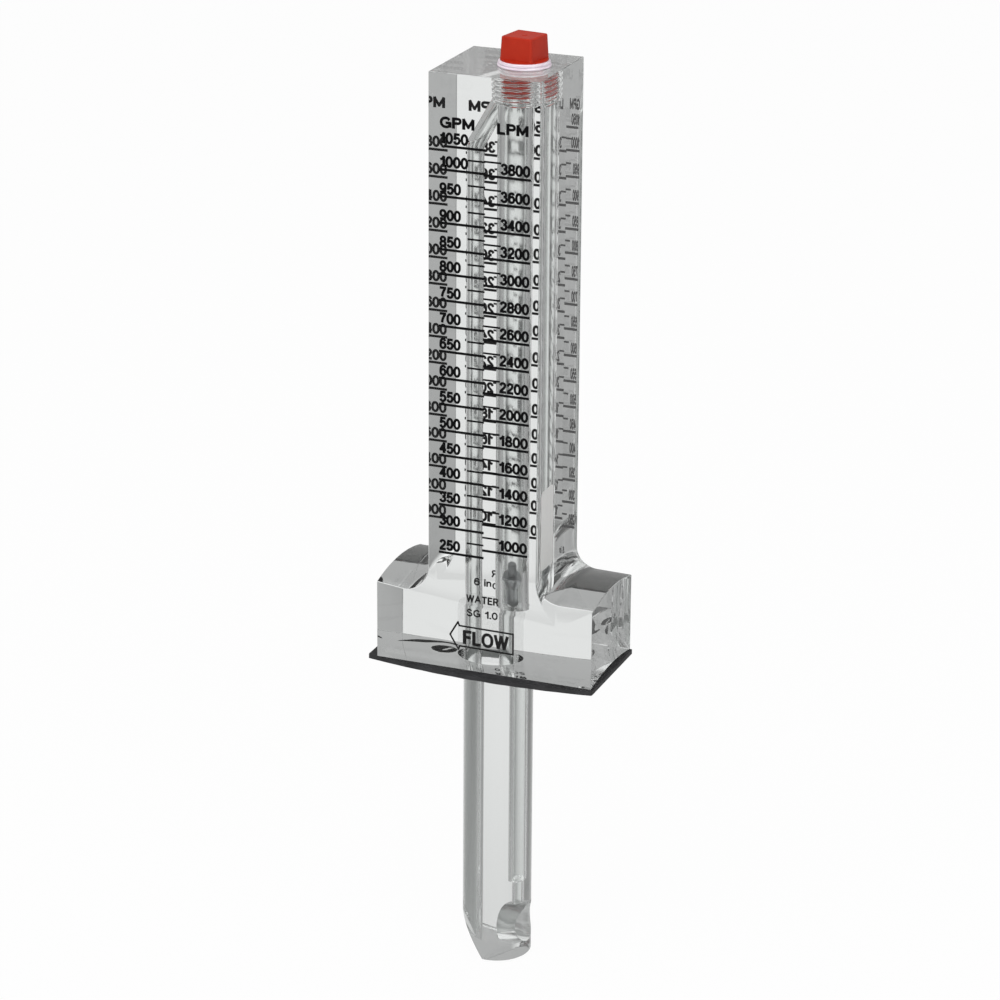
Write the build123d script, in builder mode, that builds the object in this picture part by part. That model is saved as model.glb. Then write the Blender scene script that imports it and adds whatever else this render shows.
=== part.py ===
from build123d import *

import os
from math import cos, radians, sin, sqrt, tan

os.makedirs("parts", exist_ok=True)

# The origin is where the probe's axis meets the gasket's underside, which is the pipe's surface.
# +Z is up, +X points upstream, into the flow, and the scale faces -Y.

# Gasket
gasket_thickness = 1.2
gasket_left = 33.0
gasket_right = 34.0
gasket_front_left = 15.4
gasket_front_middle = 19.2
gasket_front_right = 17.0
gasket_back = 16.0
gasket_back_bow = 0.2
gasket_corner = 1.5
gasket_hole_clearance = 0.15

# Clear block: a square column on a saddle base, machined from one bar
column_width = 31.75
column_depth = 31.75
column_height = 168.0
column_offset = 1.2
base_length = 63.5
base_offset = 1.6
ear_height = 22.4
ear_crown_radius = 60.0
ear_fillet = 6.0
pipe_diameter = 168.3
edge_break = 0.25

# Probe rod, whose spigot is bonded into a socket under the base; its shoulder keeps the gasket up
probe_diameter = 19.6
probe_reach = 90.3
spigot_diameter = 19.0
probe_shoulder_gap = 0.3
socket_height = 16.0
bond_gap = 0.02
tip_cut_width = 9.2
tip_cut_rise = 13.5
tip_edge_break = 0.3

# Metering bore, which widens upwards, and the tapped port above it
meter_offset = 5.0
meter_bottom_diameter = 9.6
meter_top_diameter = 10.2
port_depth = 9.2
port_mouth_diameter = 13.6
pipe_thread_taper = 1 / 32

# By-pass: straight up beside the metering bore, then across into the port
bypass_offset = -6.35
bypass_diameter = 4.9
bypass_height = 147.0
cross_diameter = 4.8
cross_angle = 30.0
drill_point_angle = 59.0

# Passages inside the probe
high_passage_offset = 4.7
high_passage_diameter = 4.4
high_passage_depth = 68.0
jet_diameter = 2.6
impact_port_diameter = 11.1
impact_port_depth = 80.8
impact_port_floor = 2.2

# Float, which rests on the top of the probe rod
float_length = 12.8
float_body_diameter = 5.2
float_rim_diameter = 8.6
float_rim_land = 0.8
float_rim_height = 9.6
float_skirt_height = 3.0
float_knob_diameter = 3.9
float_foot_chamfer = 0.7
float_knob_chamfer = 0.3
float_rest_gap = 0.02

# Plug and the tape round its thread
plug_running_clearance = 0.05
tape_fit_gap = 0.02
tape_thickness = 0.25
plug_thread_length = 7.2
plug_neck_height = 2.0
head_side_bottom = 9.7
head_side_top = 9.1
head_height = 6.3
head_turn = -8.6
head_corner = 0.6
head_top_fillet = 0.4
tape_ring_diameter = 15.2
tape_ring_height = 1.7
tape_ring_chamfer = 0.5

# Levels and radii that follow from the sizes above
saddle_edge_z = gasket_thickness
column_top_z = saddle_edge_z + column_height
ear_edge_z = saddle_edge_z + ear_height
half_depth = column_depth / 2
pipe_radius = pipe_diameter / 2
saddle_rise = pipe_radius - sqrt(pipe_radius**2 - half_depth**2)
crown_rise = ear_crown_radius - sqrt(ear_crown_radius**2 - half_depth**2)
crown_top_z = ear_edge_z + crown_rise
blend_width = column_width + 2 * ear_fillet
probe_radius = probe_diameter / 2
probe_bottom_z = -probe_reach
probe_shoulder_z = -probe_shoulder_gap
seat_z = saddle_edge_z + socket_height
meter_x = column_offset + meter_offset
bypass_x = column_offset + bypass_offset
bypass_top_z = saddle_edge_z + bypass_height
port_floor_z = column_top_z - port_depth
port_mouth_radius = port_mouth_diameter / 2
port_floor_radius = port_mouth_radius - port_depth * pipe_thread_taper
meter_axis = Axis((meter_x, 0, 0), (0, 0, 1))
tip_cut_z = probe_bottom_z + tip_cut_rise
impact_port_z = -impact_port_depth
float_foot_z = seat_z + float_rest_gap


def drill_point(diameter):
    """Height of the cone that a twist drill leaves at the end of a blind hole."""
    return diameter / 2 / tan(radians(drill_point_angle))


# Block: the saddle base is one profile drawn across the pipe and pulled along it
with BuildPart() as body:
    with BuildSketch(Plane.YZ.offset(base_offset - base_length / 2)):
        with BuildLine():
            saddle_arch = ThreePointArc(
                (-half_depth, saddle_edge_z),
                (0, saddle_edge_z + saddle_rise),
                (half_depth, saddle_edge_z),
            )
            back_wall = Line(saddle_arch @ 1, (half_depth, ear_edge_z))
            ear_crown = ThreePointArc(
                back_wall @ 1,
                (0, ear_edge_z + crown_rise),
                (-half_depth, ear_edge_z),
            )
            Line(ear_crown @ 1, saddle_arch @ 0)
        make_face()
    extrude(amount=base_length)

    with BuildSketch(Plane.XY.offset(ear_edge_z)):
        with Locations((column_offset, 0)):
            Rectangle(column_width, column_depth)
    extrude(amount=column_height - ear_height)

    # Blends between the column and the ears, turned about the crown's axis and cut to the block's depth
    with BuildPart(mode=Mode.PRIVATE) as ear_blends:
        with BuildSketch(Plane.XZ):
            with Locations((column_offset, crown_top_z)):
                Rectangle(blend_width, ear_fillet, align=(Align.CENTER, Align.MIN))
            with Locations(
                (column_offset - blend_width / 2, crown_top_z + ear_fillet),
                (column_offset + blend_width / 2, crown_top_z + ear_fillet),
            ):
                Circle(ear_fillet, mode=Mode.SUBTRACT)
        revolve(axis=Axis((0, 0, crown_top_z - ear_crown_radius), (1, 0, 0)))
        with BuildSketch(Plane.XY.offset(ear_edge_z)):
            with Locations((column_offset, 0)):
                Rectangle(blend_width, column_depth)
        extrude(amount=crown_rise + ear_fillet, mode=Mode.INTERSECT)
    add(ear_blends.part)
    chamfer(body.faces().sort_by(Axis.Z)[-1].edges(), edge_break)

    # Socket for the probe
    with BuildSketch(Plane.XY):
        Circle(spigot_diameter / 2 + bond_gap)
    extrude(amount=seat_z, mode=Mode.SUBTRACT)

    # Metering bore and tapped port, turned about one axis
    with BuildSketch(Plane.XZ):
        Polygon(
            (meter_x, seat_z),
            (meter_x + meter_bottom_diameter / 2, seat_z),
            (meter_x + meter_top_diameter / 2, port_floor_z),
            (meter_x + port_floor_radius, port_floor_z),
            (meter_x + port_mouth_radius, column_top_z),
            (meter_x, column_top_z),
            align=None,
        )
    revolve(axis=meter_axis, mode=Mode.SUBTRACT)

    # By-pass, drilled up from the socket
    with BuildSketch(Plane.XZ):
        Polygon(
            (bypass_x, seat_z - edge_break),
            (bypass_x + bypass_diameter / 2, seat_z - edge_break),
            (bypass_x + bypass_diameter / 2, bypass_top_z),
            (bypass_x, bypass_top_z + drill_point(bypass_diameter)),
            align=None,
        )
    revolve(axis=Axis((bypass_x, 0, 0), (0, 0, 1)), mode=Mode.SUBTRACT)

    # Cross passage, drilled down through the open port to the by-pass
    cross_direction = (sin(radians(cross_angle)), 0, cos(radians(cross_angle)))
    cross_length = (column_top_z - bypass_top_z) / cos(radians(cross_angle))
    with BuildSketch(Plane(origin=(bypass_x, 0, bypass_top_z), z_dir=cross_direction)):
        Circle(cross_diameter / 2)
    extrude(amount=cross_length, mode=Mode.SUBTRACT)

body.part.label = "body"
export_step(body.part, "parts/body.step")


# Probe: a rod with a turned spigot, two lengthwise passages, the impact port and a slanted tip
with BuildPart() as probe:
    with BuildSketch(Plane.XY.offset(probe_bottom_z)):
        Circle(probe_radius)
    extrude(amount=probe_shoulder_z - probe_bottom_z)
    with BuildSketch(Plane.XY.offset(probe_shoulder_z)):
        Circle(spigot_diameter / 2)
    extrude(amount=seat_z - bond_gap - probe_shoulder_z)

    # Slanted cut on the downstream side of the tip
    with BuildSketch(Plane.XZ):
        Polygon(
            (-probe_radius, probe_bottom_z),
            (-probe_radius, tip_cut_z),
            (tip_cut_width - probe_radius, probe_bottom_z),
            align=None,
        )
    extrude(amount=probe_radius, both=True, mode=Mode.SUBTRACT)
    chamfer(probe.faces().sort_by(Axis.Z)[0].edges(), tip_edge_break)

    # Low pressure passage, in line with the by-pass
    with BuildSketch(Plane.XY.offset(probe_bottom_z)):
        with Locations((bypass_x, 0)):
            Circle(bypass_diameter / 2)
    extrude(amount=seat_z - probe_bottom_z, mode=Mode.SUBTRACT)

    # High pressure passage with its drill point, and the fine jet below it
    with BuildSketch(Plane.XZ):
        Polygon(
            (high_passage_offset, -high_passage_depth - drill_point(high_passage_diameter)),
            (high_passage_offset + high_passage_diameter / 2, -high_passage_depth),
            (high_passage_offset + high_passage_diameter / 2, seat_z),
            (high_passage_offset, seat_z),
            align=None,
        )
    revolve(axis=Axis((high_passage_offset, 0, 0), (0, 0, 1)), mode=Mode.SUBTRACT)
    with BuildSketch(Plane.XY.offset(impact_port_z)):
        with Locations((high_passage_offset, 0)):
            Circle(jet_diameter / 2)
    extrude(amount=-impact_port_z - high_passage_depth, mode=Mode.SUBTRACT)

    # Impact port, which faces the flow
    with BuildSketch(Plane.YZ.offset(impact_port_floor)):
        with Locations((0, impact_port_z)):
            Circle(impact_port_diameter / 2)
    extrude(amount=probe_radius, mode=Mode.SUBTRACT)

probe.part.label = "probe"
export_step(probe.part, "parts/probe.step")


# Gasket: a flat rubber sheet cut by hand, with bowed edges and a hole for the probe's spigot
with BuildPart() as gasket:
    with BuildSketch(Plane.XY):
        with BuildLine():
            front_edge = ThreePointArc(
                (-gasket_left, -gasket_front_left),
                (0, -gasket_front_middle),
                (gasket_right, -gasket_front_right),
            )
            right_edge = Line(front_edge @ 1, (gasket_right, gasket_back))
            back_edge = ThreePointArc(
                right_edge @ 1,
                (0, gasket_back + gasket_back_bow),
                (-gasket_left, gasket_back),
            )
            Line(back_edge @ 1, front_edge @ 0)
        gasket_face = make_face()
        fillet(gasket_face.vertices(), gasket_corner)
        Circle(spigot_diameter / 2 + gasket_hole_clearance, mode=Mode.SUBTRACT)
    extrude(amount=gasket_thickness)

gasket.part.label = "gasket"
export_step(gasket.part, "parts/gasket.step")


# Float: turned in one piece, with a knob, a sharp rim that is read against the scale, and a stem
rim_top_z = float_foot_z + float_rim_height
rim_foot_z = rim_top_z - float_rim_land
skirt_foot_z = rim_foot_z - float_skirt_height
float_top_z = float_foot_z + float_length
with BuildPart() as float_piece:
    with BuildSketch(Plane.XZ):
        Polygon(
            (meter_x, float_foot_z),
            (meter_x + float_body_diameter / 2 - float_foot_chamfer, float_foot_z),
            (meter_x + float_body_diameter / 2, float_foot_z + float_foot_chamfer),
            (meter_x + float_body_diameter / 2, skirt_foot_z),
            (meter_x + float_rim_diameter / 2, rim_foot_z),
            (meter_x + float_rim_diameter / 2, rim_top_z),
            (meter_x + float_knob_diameter / 2, rim_top_z),
            (meter_x + float_knob_diameter / 2, float_top_z),
            (meter_x, float_top_z),
            align=None,
        )
    revolve(axis=meter_axis)
    chamfer(float_piece.faces().sort_by(Axis.Z)[-1].edges(), float_knob_chamfer)

float_piece.part.label = "float"
export_step(float_piece.part, "parts/float.step")


def port_radius(z):
    """Radius of the tapped port's wall at height z."""
    return port_mouth_radius - (column_top_z - z) * pipe_thread_taper


# Plug: a tapered pipe thread, a short neck and a square head that narrows upwards
plug_foot_z = column_top_z - plug_thread_length
neck_top_z = column_top_z + plug_neck_height
tape_inner_drop = plug_running_clearance + tape_thickness
plug_drop = tape_inner_drop + tape_fit_gap
with BuildPart() as plug:
    with BuildSketch(Plane.XZ):
        Polygon(
            (meter_x, plug_foot_z),
            (meter_x + port_radius(plug_foot_z) - plug_drop, plug_foot_z),
            (meter_x + port_radius(column_top_z) - plug_drop, column_top_z),
            (meter_x + port_radius(column_top_z) - plug_drop, neck_top_z),
            (meter_x, neck_top_z),
            align=None,
        )
    revolve(axis=meter_axis)
    head_plane = Plane(origin=(meter_x, 0, neck_top_z)).rotated((0, 0, head_turn))
    with BuildSketch(head_plane):
        RectangleRounded(head_side_bottom, head_side_bottom, head_corner)
    with BuildSketch(head_plane.offset(head_height)):
        RectangleRounded(head_side_top, head_side_top, head_corner)
    loft()
    fillet(plug.faces().sort_by(Axis.Z)[-1].edges(), head_top_fillet)

plug.part.label = "plug"
export_step(plug.part, "parts/plug.step")


# Thread tape: a thin wrap over the plug's thread, bunched into a ring above the block
ring_foot_z = column_top_z + plug_running_clearance
ring_top_z = ring_foot_z + tape_ring_height
with BuildPart() as thread_tape:
    with BuildSketch(Plane.XZ):
        Polygon(
            (meter_x + port_radius(plug_foot_z) - tape_inner_drop, plug_foot_z),
            (meter_x + port_radius(plug_foot_z) - plug_running_clearance, plug_foot_z),
            (meter_x + port_radius(column_top_z) - plug_running_clearance, column_top_z),
            (meter_x + port_radius(column_top_z) - plug_running_clearance, ring_foot_z),
            (meter_x + tape_ring_diameter / 2, ring_foot_z),
            (meter_x + tape_ring_diameter / 2, ring_top_z),
            (meter_x + port_radius(column_top_z) - tape_inner_drop, ring_top_z),
            (meter_x + port_radius(column_top_z) - tape_inner_drop, column_top_z),
            align=None,
        )
    revolve(axis=meter_axis)
    ring_rims = thread_tape.edges().filter_by(GeomType.CIRCLE).sort_by(SortBy.RADIUS)[-2:]
    chamfer(ring_rims, tape_ring_chamfer)

thread_tape.part.label = "thread_tape"
export_step(thread_tape.part, "parts/thread_tape.step")
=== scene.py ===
import math

import bmesh
import bpy
from mathutils import Matrix, Vector, noise


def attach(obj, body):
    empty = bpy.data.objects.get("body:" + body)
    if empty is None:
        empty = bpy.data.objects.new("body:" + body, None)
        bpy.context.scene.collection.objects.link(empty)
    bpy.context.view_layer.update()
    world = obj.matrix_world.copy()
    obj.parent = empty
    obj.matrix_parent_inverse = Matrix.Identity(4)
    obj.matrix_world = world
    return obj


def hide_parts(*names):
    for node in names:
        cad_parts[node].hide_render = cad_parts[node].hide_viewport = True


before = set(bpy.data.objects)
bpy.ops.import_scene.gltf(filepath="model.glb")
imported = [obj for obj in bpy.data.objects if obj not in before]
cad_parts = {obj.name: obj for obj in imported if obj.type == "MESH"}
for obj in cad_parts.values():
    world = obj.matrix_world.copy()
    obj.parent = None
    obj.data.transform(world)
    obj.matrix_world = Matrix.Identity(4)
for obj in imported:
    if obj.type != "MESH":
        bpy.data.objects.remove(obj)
bpy.ops.object.select_all(action="DESELECT")
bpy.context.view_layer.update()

MM = 0.001

# Sizes of the real thing in millimetres, the same as in the CAD source
HALF_WIDTH = 15.875
COLUMN_X = 1.2
BASE_X = 1.6
BASE_LENGTH = 63.5
SADDLE_Z = 1.2
EAR_Z = 23.6
TOP_Z = 169.2
CROWN_RADIUS = 60.0
PIPE_RADIUS = 84.15
ROD_RADIUS = 9.8
SPIGOT_RADIUS = 9.5
ROD_END_Z = -90.3
METER_X = 6.2
SEAT_Z = 17.2
PORT_FLOOR_Z = 160.0
BYPASS_X = -5.15
BYPASS_RADIUS = 2.45
CROSS_RADIUS = 2.4
CROSS_Z = 148.2
HIGH_X = 4.7
HIGH_RADIUS = 2.2
JET_RADIUS = 1.3
PITCH = 25.4 / 18
HOLE_RADIUS = 9.65

ACRYLIC_IOR = 1.49


# Camera at the photograph's viewing angle
def aim_camera():
    turn = math.radians(21.50)
    tilt = math.radians(20.13)
    roll = math.radians(0.37)
    stand = Vector((351.55, -892.21, 397.89)) * MM
    ahead = Vector((-math.sin(turn) * math.cos(tilt), math.cos(turn) * math.cos(tilt), -math.sin(tilt)))
    across = Vector((math.cos(turn), math.sin(turn), 0))
    upward = across.cross(ahead)
    right = math.cos(roll) * across + math.sin(roll) * upward
    top = -math.sin(roll) * across + math.cos(roll) * upward
    bpy.ops.object.camera_add()
    camera = bpy.context.object
    camera.name = "photo_camera"
    place = Matrix((right, top, -ahead)).transposed().to_4x4()
    place.translation = stand
    camera.matrix_world = place
    camera.data.lens = 133.488
    camera.data.sensor_width = 36
    camera.data.clip_start = 0.05
    camera.data.clip_end = 20
    bpy.context.scene.camera = camera


aim_camera()
bpy.context.scene.view_settings.view_transform = "Standard"

# Light goes back and forth many times inside the long clear block before it comes out
light_paths = bpy.context.scene.cycles
light_paths.max_bounces = 40
light_paths.glossy_bounces = 32
light_paths.transmission_bounces = 32


# Materials
def linear(code):
    """An sRGB hex colour as a linear one with alpha."""
    parts = [int(code[i:i + 2], 16) / 255 for i in (1, 3, 5)]
    return tuple(c / 12.92 if c <= 0.04045 else ((c + 0.055) / 1.055) ** 2.4 for c in parts) + (1.0,)


def add_node(owner, kind, inputs=None, stops=(), **settings):
    """Adds one node. An input is a value, or a node and its output; a ramp's stop is a place and a colour."""
    made = owner.node_tree.nodes.new(kind)
    for name, value in settings.items():
        setattr(made, name, value)
    for name, value in (inputs or {}).items():
        if isinstance(value, tuple) and isinstance(value[0], bpy.types.Node):
            owner.node_tree.links.new(value[0].outputs[value[1]], made.inputs[name])
        else:
            made.inputs[name].default_value = value
    if stops:
        elements = made.color_ramp.elements
        elements.remove(elements[-1])
        elements[0].position, elements[0].color = stops[0][0], linear(stops[0][1])
        for place, code in stops[1:]:
            elements.new(place).color = linear(code)
    return made


def new_material(name):
    material = bpy.data.materials.new(name)
    material.use_nodes = True
    material.node_tree.nodes.clear()
    return material


def polished_acrylic(name, through, rubbed):
    """Cast acrylic, machined: clear, with faint waves and fine scratches. A milled face is hazier."""
    material = new_material(name)
    where = add_node(material, "ShaderNodeTexCoord")
    # Polishing leaves waves about 9 mm long
    waves = add_node(
        material, "ShaderNodeTexNoise", {"Vector": (where, "Object"), "Scale": 110.0, "Detail": 1.0}
    )
    # Handling scratches run mostly lengthwise, about 0.4 mm apart
    stretched = add_node(
        material, "ShaderNodeMapping", {"Vector": (where, "Object"), "Scale": (2500.0, 2500.0, 60.0)}
    )
    scratches = add_node(
        material, "ShaderNodeTexNoise", {"Vector": (stretched, "Vector"), "Scale": 1.0, "Detail": 3.0}
    )
    haze = add_node(
        material, "ShaderNodeMapRange",
        {
            "Value": (scratches, "Fac"), "From Min": 0.62, "From Max": 0.75,
            "To Min": rubbed, "To Max": rubbed + 0.05,
        },
    )
    relief = add_node(
        material, "ShaderNodeBump", {"Height": (waves, "Fac"), "Strength": 0.10, "Distance": 0.0001}
    )
    shader = add_node(
        material, "ShaderNodeBsdfPrincipled",
        {
            "Base Color": linear("#F8FAF9"), "Transmission Weight": through, "IOR": ACRYLIC_IOR,
            "Roughness": (haze, "Result"), "Normal": (relief, "Normal"),
        },
    )
    add_node(material, "ShaderNodeOutputMaterial", {"Surface": (shader, "BSDF")})
    return material


def drilled_acrylic():
    """Acrylic as the drill leaves it: still clear, with fine rings of tool marks and a slight haze."""
    material = new_material("drilled_acrylic")
    where = add_node(material, "ShaderNodeTexCoord")
    # Feed marks about 0.5 mm apart down the bore
    rings = add_node(
        material, "ShaderNodeTexWave", {"Vector": (where, "Object"), "Scale": 640.0, "Distortion": 0.6},
        bands_direction="Z",
    )
    # Streaks along the bore where chips rubbed, about 1 mm wide
    stretched = add_node(
        material, "ShaderNodeMapping", {"Vector": (where, "Object"), "Scale": (1100.0, 1100.0, 25.0)}
    )
    streaks = add_node(
        material, "ShaderNodeTexNoise", {"Vector": (stretched, "Vector"), "Scale": 1.0, "Detail": 2.0}
    )
    haze = add_node(
        material, "ShaderNodeMapRange",
        {"Value": (streaks, "Fac"), "From Min": 0.35, "From Max": 0.75, "To Min": 0.15, "To Max": 0.26},
    )
    both = add_node(
        material, "ShaderNodeMath", {0: (rings, "Fac"), 1: (streaks, "Fac")}, operation="ADD"
    )
    relief = add_node(
        material, "ShaderNodeBump", {"Height": (both, "Value"), "Strength": 0.008, "Distance": 0.00004}
    )
    shader = add_node(
        material, "ShaderNodeBsdfPrincipled",
        {
            "Base Color": linear("#F8FAF9"), "Transmission Weight": 1.0, "IOR": ACRYLIC_IOR,
            "Roughness": (haze, "Result"), "Normal": (relief, "Normal"),
        },
    )
    add_node(material, "ShaderNodeOutputMaterial", {"Surface": (shader, "BSDF")})
    return material


def screen_ink():
    """Screen printing ink: a black film with a soft sheen and the mesh's fine grain in it."""
    material = new_material("screen_ink")
    where = add_node(material, "ShaderNodeTexCoord")
    # The screen's mesh is about 0.15 mm, and the film is thinner in places
    grain = add_node(
        material, "ShaderNodeTexNoise", {"Vector": (where, "Object"), "Scale": 6500.0, "Detail": 2.0}
    )
    tone = add_node(
        material, "ShaderNodeValToRGB", {"Fac": (grain, "Fac")}, stops=((0.3, "#050506"), (0.7, "#0D0D0F"))
    )
    relief = add_node(
        material, "ShaderNodeBump", {"Height": (grain, "Fac"), "Strength": 0.2, "Distance": 0.00001}
    )
    shader = add_node(
        material, "ShaderNodeBsdfPrincipled",
        {
            "Base Color": (tone, "Color"), "Roughness": 0.45, "Specular IOR Level": 0.1,
            "Normal": (relief, "Normal"),
        },
    )
    add_node(material, "ShaderNodeOutputMaterial", {"Surface": (shader, "BSDF")})
    return material


def moulded_red(name, dark, light):
    """Red polyethylene, injection moulded: satin, with a fine grain. The thread's copy is brighter as painted
    light, for the light that reaches the thread through the acrylic.
    """
    material = new_material(name)
    where = add_node(material, "ShaderNodeTexCoord")
    # Spark eroded mould grain of about 0.2 mm
    grain = add_node(
        material, "ShaderNodeTexNoise", {"Vector": (where, "Object"), "Scale": 5000.0, "Detail": 2.0}
    )
    # Flow of the pigment, about 5 mm across
    flow = add_node(
        material, "ShaderNodeTexNoise", {"Vector": (where, "Object"), "Scale": 190.0, "Detail": 3.0}
    )
    tone = add_node(material, "ShaderNodeValToRGB", {"Fac": (flow, "Fac")}, stops=((0.3, dark), (0.7, light)))
    relief = add_node(
        material, "ShaderNodeBump", {"Height": (grain, "Fac"), "Strength": 0.25, "Distance": 0.00003}
    )
    shader = add_node(
        material, "ShaderNodeBsdfPrincipled",
        {
            "Base Color": (tone, "Color"), "Roughness": 0.5, "IOR": 1.51, "Specular IOR Level": 0.3,
            "Subsurface Weight": 0.08, "Subsurface Radius": (0.0012, 0.0003, 0.0002), "Subsurface Scale": 1.0,
            "Normal": (relief, "Normal"),
        },
    )
    add_node(material, "ShaderNodeOutputMaterial", {"Surface": (shader, "BSDF")})
    return material


def thread_seal_tape():
    """Seal tape, a stretched fluoropolymer film: soft, cool white, and creased along its winding."""
    material = new_material("thread_seal_tape")
    where = add_node(material, "ShaderNodeTexCoord")
    # Creases lie round the plug, about 0.3 mm apart
    squashed = add_node(
        material, "ShaderNodeMapping", {"Vector": (where, "Object"), "Scale": (260.0, 260.0, 3200.0)}
    )
    creases = add_node(
        material, "ShaderNodeTexNoise", {"Vector": (squashed, "Vector"), "Scale": 1.0, "Detail": 4.0}
    )
    tone = add_node(
        material, "ShaderNodeValToRGB", {"Fac": (creases, "Fac")},
        stops=((0.25, "#D2BCCB"), (0.5, "#EBDEE8"), (0.75, "#F4EEF5")),
    )
    relief = add_node(
        material, "ShaderNodeBump", {"Height": (creases, "Fac"), "Strength": 0.6, "Distance": 0.0001}
    )
    shader = add_node(
        material, "ShaderNodeBsdfPrincipled",
        {
            "Base Color": (tone, "Color"), "Roughness": 0.5, "IOR": 1.36, "Normal": (relief, "Normal"),
            "Subsurface Weight": 0.3, "Subsurface Radius": (0.0006, 0.0005, 0.0006), "Subsurface Scale": 1.0,
        },
    )
    add_node(material, "ShaderNodeOutputMaterial", {"Surface": (shader, "BSDF")})
    return material


def stretched_tape():
    """The same tape pulled thin on the thread: torn off the crests, and a pink film across the roots."""
    material = new_material("stretched_seal_tape")
    where = add_node(material, "ShaderNodeTexCoord")
    place = add_node(material, "ShaderNodeSeparateXYZ", {"Vector": (where, "Object")})
    # How far round the plug a point is, as a share of a turn
    from_axis = add_node(
        material, "ShaderNodeMath", {0: (place, "X"), 1: METER_X * MM}, operation="SUBTRACT"
    )
    angle = add_node(
        material, "ShaderNodeMath", {0: (place, "Y"), 1: (from_axis, "Value")}, operation="ARCTAN2"
    )
    turns = add_node(
        material, "ShaderNodeMath", {0: (angle, "Value"), 1: 0.5 / math.pi}, operation="MULTIPLY"
    )
    # How far up it is, in pitches of 1.41 mm
    height = add_node(
        material, "ShaderNodeMath", {0: (place, "Z"), 1: TOP_Z * MM}, operation="SUBTRACT"
    )
    pitches = add_node(
        material, "ShaderNodeMath", {0: (height, "Value"), 1: 1 / (PITCH * MM)}, operation="MULTIPLY"
    )
    phase = add_node(
        material, "ShaderNodeMath", {0: (pitches, "Value"), 1: (turns, "Value")}, operation="SUBTRACT"
    )
    # The tear wanders in patches of about 2.4 mm
    patches = add_node(
        material, "ShaderNodeTexNoise", {"Vector": (where, "Object"), "Scale": 420.0, "Detail": 3.0}
    )
    uneven = add_node(
        material, "ShaderNodeMapRange",
        {"Value": (patches, "Fac"), "From Min": 0.3, "From Max": 0.7, "To Min": -0.12, "To Max": 0.12},
    )
    torn = add_node(
        material, "ShaderNodeMath", {0: (phase, "Value"), 1: (uneven, "Result")}, operation="ADD"
    )
    groove = add_node(material, "ShaderNodeMath", {0: (torn, "Value"), 1: 0.5}, operation="PINGPONG")
    cover = add_node(
        material, "ShaderNodeMapRange",
        {"Value": (groove, "Value"), "From Min": 0.06, "From Max": 0.24, "To Min": 0.3, "To Max": 0.02},
    )
    clear = add_node(material, "ShaderNodeBsdfTransparent", {"Color": (1.0, 1.0, 1.0, 1.0)})
    film = add_node(
        material, "ShaderNodeBsdfPrincipled",
        {"Base Color": linear("#F4AEA2"), "Roughness": 0.4, "IOR": 1.36},
    )
    shader = add_node(
        material, "ShaderNodeMixShader", {0: (cover, "Result"), 1: (clear, "BSDF"), 2: (film, "BSDF")}
    )
    add_node(material, "ShaderNodeOutputMaterial", {"Surface": (shader, "Shader")})
    return material


def sheet_rubber():
    """Black nitrile sheet, calendered and cut with shears: matte, with a fine pebble and paler scuffs."""
    material = new_material("sheet_rubber")
    where = add_node(material, "ShaderNodeTexCoord")
    # Pebble of about 0.35 mm from the calender's cloth
    pebble = add_node(material, "ShaderNodeTexVoronoi", {"Vector": (where, "Object"), "Scale": 2800.0})
    # Bloom and scuffs, some 6 mm across
    bloom = add_node(
        material, "ShaderNodeTexNoise", {"Vector": (where, "Object"), "Scale": 170.0, "Detail": 5.0}
    )
    tone = add_node(
        material, "ShaderNodeValToRGB", {"Fac": (bloom, "Fac")}, stops=((0.35, "#222223"), (0.7, "#343436"))
    )
    relief = add_node(
        material, "ShaderNodeBump", {"Height": (pebble, "Distance"), "Strength": 0.35, "Distance": 0.00005}
    )
    shader = add_node(
        material, "ShaderNodeBsdfPrincipled",
        {"Base Color": (tone, "Color"), "Roughness": 0.62, "IOR": 1.52, "Normal": (relief, "Normal")},
    )
    add_node(material, "ShaderNodeOutputMaterial", {"Surface": (shader, "BSDF")})
    return material


def pressed_rubber():
    """The same sheet where it clings to the acrylic: no air lies between, so it shows plain black."""
    material = new_material("pressed_rubber")
    where = add_node(material, "ShaderNodeTexCoord")
    # Grease and water on the sheet, in patches of 3 mm
    damp = add_node(
        material, "ShaderNodeTexNoise", {"Vector": (where, "Object"), "Scale": 330.0, "Detail": 2.0}
    )
    tone = add_node(
        material, "ShaderNodeValToRGB", {"Fac": (damp, "Fac")}, stops=((0.4, "#030303"), (0.7, "#0B0B0B"))
    )
    shader = add_node(
        material, "ShaderNodeBsdfPrincipled",
        {"Base Color": (tone, "Color"), "Roughness": 0.6, "Specular IOR Level": 0.1, "IOR": 1.52},
    )
    add_node(material, "ShaderNodeOutputMaterial", {"Surface": (shader, "BSDF")})
    return material


def talced_rubber():
    """The sheet's upper side under the block, pale grey."""
    material = new_material("talced_rubber")
    where = add_node(material, "ShaderNodeTexCoord")
    # Pale grey clouds of about 2 mm
    clouds = add_node(
        material, "ShaderNodeTexNoise", {"Vector": (where, "Object"), "Scale": 500.0, "Detail": 4.0}
    )
    tone = add_node(
        material, "ShaderNodeValToRGB", {"Fac": (clouds, "Fac")}, stops=((0.35, "#9C9C9A"), (0.7, "#B8B8B6"))
    )
    shader = add_node(
        material, "ShaderNodeBsdfPrincipled",
        {"Base Color": (tone, "Color"), "Roughness": 0.8, "Specular IOR Level": 0.2, "IOR": 1.52},
    )
    add_node(material, "ShaderNodeOutputMaterial", {"Surface": (shader, "BSDF")})
    return material


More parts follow.
